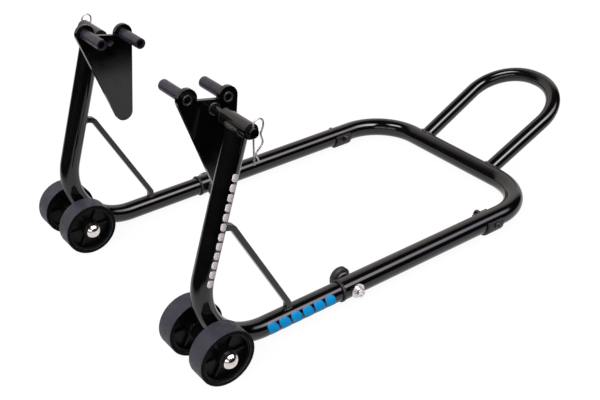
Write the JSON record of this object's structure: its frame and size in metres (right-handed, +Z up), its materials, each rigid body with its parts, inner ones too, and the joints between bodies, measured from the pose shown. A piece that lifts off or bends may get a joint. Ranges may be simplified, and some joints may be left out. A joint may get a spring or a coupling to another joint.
{
  "type": "front paddock stand",
  "caption": "Front paddock stand for a motorcycle: U-shaped floor frame with lever handle, bolted wheeled uprights and swivelling pin cradles under the fork.",
  "frame": {"origin": "on the floor, below the centre of the stand's bounding box", "axes": "+X to the rear, towards the handle; +Y to the right as seen from behind; +Z up; the wheels are at -X"},
  "size_m": [0.8893, 0.5016, 0.3605],
  "materials": {
    "frame_paint": "gloss black powder coat",
    "leg_paint": "gloss black powder coat",
    "zinc_steel": "bright zinc plated",
    "bare_steel": "satin turned",
    "chrome": "polished",
    "spring_steel": "bright drawn wire",
    "brass": "turned",
    "hub_plastic": "moulded, satin",
    "tread": "matte",
    "knob_plastic": "moulded, fine grain",
    "pad_rubber": "matte",
    "sleeve_rubber": "smooth",
    "bush_nylon": "black, satin"
  },
  "bodies": {
    "stand": {"u_frame": "frame_paint", "handle_loop": "frame_paint", "axle_caps": "chrome", "axle_washers": "zinc_steel", "frame_bolts": "zinc_steel", "bolt_washers": "zinc_steel", "pad_bolts": "leg_paint", "pad_nuts": "leg_paint", "left_leg": "leg_paint", "left_brace": "leg_paint", "left_spindle_tube": "leg_paint", "left_axle_sleeve": "leg_paint", "left_axle_rod": "bare_steel", "left_foot_pad": "pad_rubber", "right_leg": "leg_paint", "right_brace": "leg_paint", "right_spindle_tube": "leg_paint", "right_axle_sleeve": "leg_paint", "right_axle_rod": "bare_steel", "right_foot_pad": "pad_rubber"},
    "left outer wheel": {"left_outer_hub": "hub_plastic", "left_outer_tyre": "tread"},
    "left inner wheel": {"left_inner_hub": "hub_plastic", "left_inner_tyre": "tread"},
    "left bush": {"left_spindle_bush": "bush_nylon"},
    "left adaptor": {"left_spindle": "leg_paint", "left_adaptor_plate": "leg_paint", "left_cradle_pins": "leg_paint", "left_pin_sleeves": "sleeve_rubber"},
    "left clip": {"left_r_clip": "spring_steel"},
    "left knob washer": {"left_knob_washer": "zinc_steel"},
    "left knob": {"left_knob": "knob_plastic", "left_knob_insert": "brass"},
    "right outer wheel": {"right_outer_hub": "hub_plastic", "right_outer_tyre": "tread"},
    "right inner wheel": {"right_inner_hub": "hub_plastic", "right_inner_tyre": "tread"},
    "right bush": {"right_spindle_bush": "bush_nylon"},
    "right adaptor": {"right_spindle": "leg_paint", "right_adaptor_plate": "leg_paint", "right_cradle_pins": "leg_paint", "right_pin_sleeves": "sleeve_rubber"},
    "right clip": {"right_r_clip": "spring_steel"},
    "right knob washer": {"right_knob_washer": "zinc_steel"},
    "right knob": {"right_knob": "knob_plastic", "right_knob_insert": "brass"}
  },
  "joints": [
    {"name": "left outer wheel spin", "type": "hinge", "parent": "stand", "child": "left outer wheel", "pos_m": [-0.40465, -0.224, 0.04], "axis": [0, 1, 0], "continuous": true},
    {"name": "left inner wheel spin", "type": "hinge", "parent": "stand", "child": "left inner wheel", "pos_m": [-0.40465, -0.15, 0.04], "axis": [0, 1, 0], "continuous": true},
    {"name": "left adaptor swivel", "type": "hinge", "parent": "stand", "child": "left bush", "pos_m": [-0.34315, -0.187, 0.326], "axis": [0, 1, 0], "continuous": true},
    {"name": "left adaptor width", "type": "slide", "parent": "left bush", "child": "left adaptor", "axis": [0, -1, 0], "range_m": [0, 0.02]},
    {"name": "left clip swing", "type": "hinge", "parent": "left adaptor", "child": "left clip", "pos_m": [-0.34315, -0.217, 0.326], "axis": [0, 0, 1], "range_deg": [-180, 0]},
    {"name": "left knob travel", "type": "slide", "parent": "stand", "child": "left knob washer", "axis": [0, 1, 0], "range_m": [0, 0.0025]},
    {"name": "left knob turn", "type": "hinge", "parent": "left knob washer", "child": "left knob", "pos_m": [-0.16365, -0.16, 0.01717], "axis": [0, 1, 0], "range_deg": [0, 720]},
    {"name": "right outer wheel spin", "type": "hinge", "parent": "stand", "child": "right outer wheel", "pos_m": [-0.40465, 0.224, 0.04], "axis": [0, 1, 0], "continuous": true},
    {"name": "right inner wheel spin", "type": "hinge", "parent": "stand", "child": "right inner wheel", "pos_m": [-0.40465, 0.15, 0.04], "axis": [0, 1, 0], "continuous": true},
    {"name": "right adaptor swivel", "type": "hinge", "parent": "stand", "child": "right bush", "pos_m": [-0.34315, 0.187, 0.326], "axis": [0, 1, 0], "continuous": true},
    {"name": "right adaptor width", "type": "slide", "parent": "right bush", "child": "right adaptor", "axis": [0, 1, 0], "range_m": [0, 0.02]},
    {"name": "right clip swing", "type": "hinge", "parent": "right adaptor", "child": "right clip", "pos_m": [-0.34315, 0.217, 0.326], "axis": [0, 0, 1], "range_deg": [0, 180]},
    {"name": "right knob travel", "type": "slide", "parent": "stand", "child": "right knob washer", "axis": [0, -1, 0], "range_m": [0, 0.0025]},
    {"name": "right knob turn", "type": "hinge", "parent": "right knob washer", "child": "right knob", "pos_m": [-0.16365, 0.16, 0.01717], "axis": [0, -1, 0], "range_deg": [0, 720]}
  ],
  "couplings": [
    {"joint": "left knob travel", "follows": "left knob turn", "m_per_rad": 0.00019894},
    {"joint": "right knob travel", "follows": "right knob turn", "m_per_rad": 0.00019894}
  ]
}
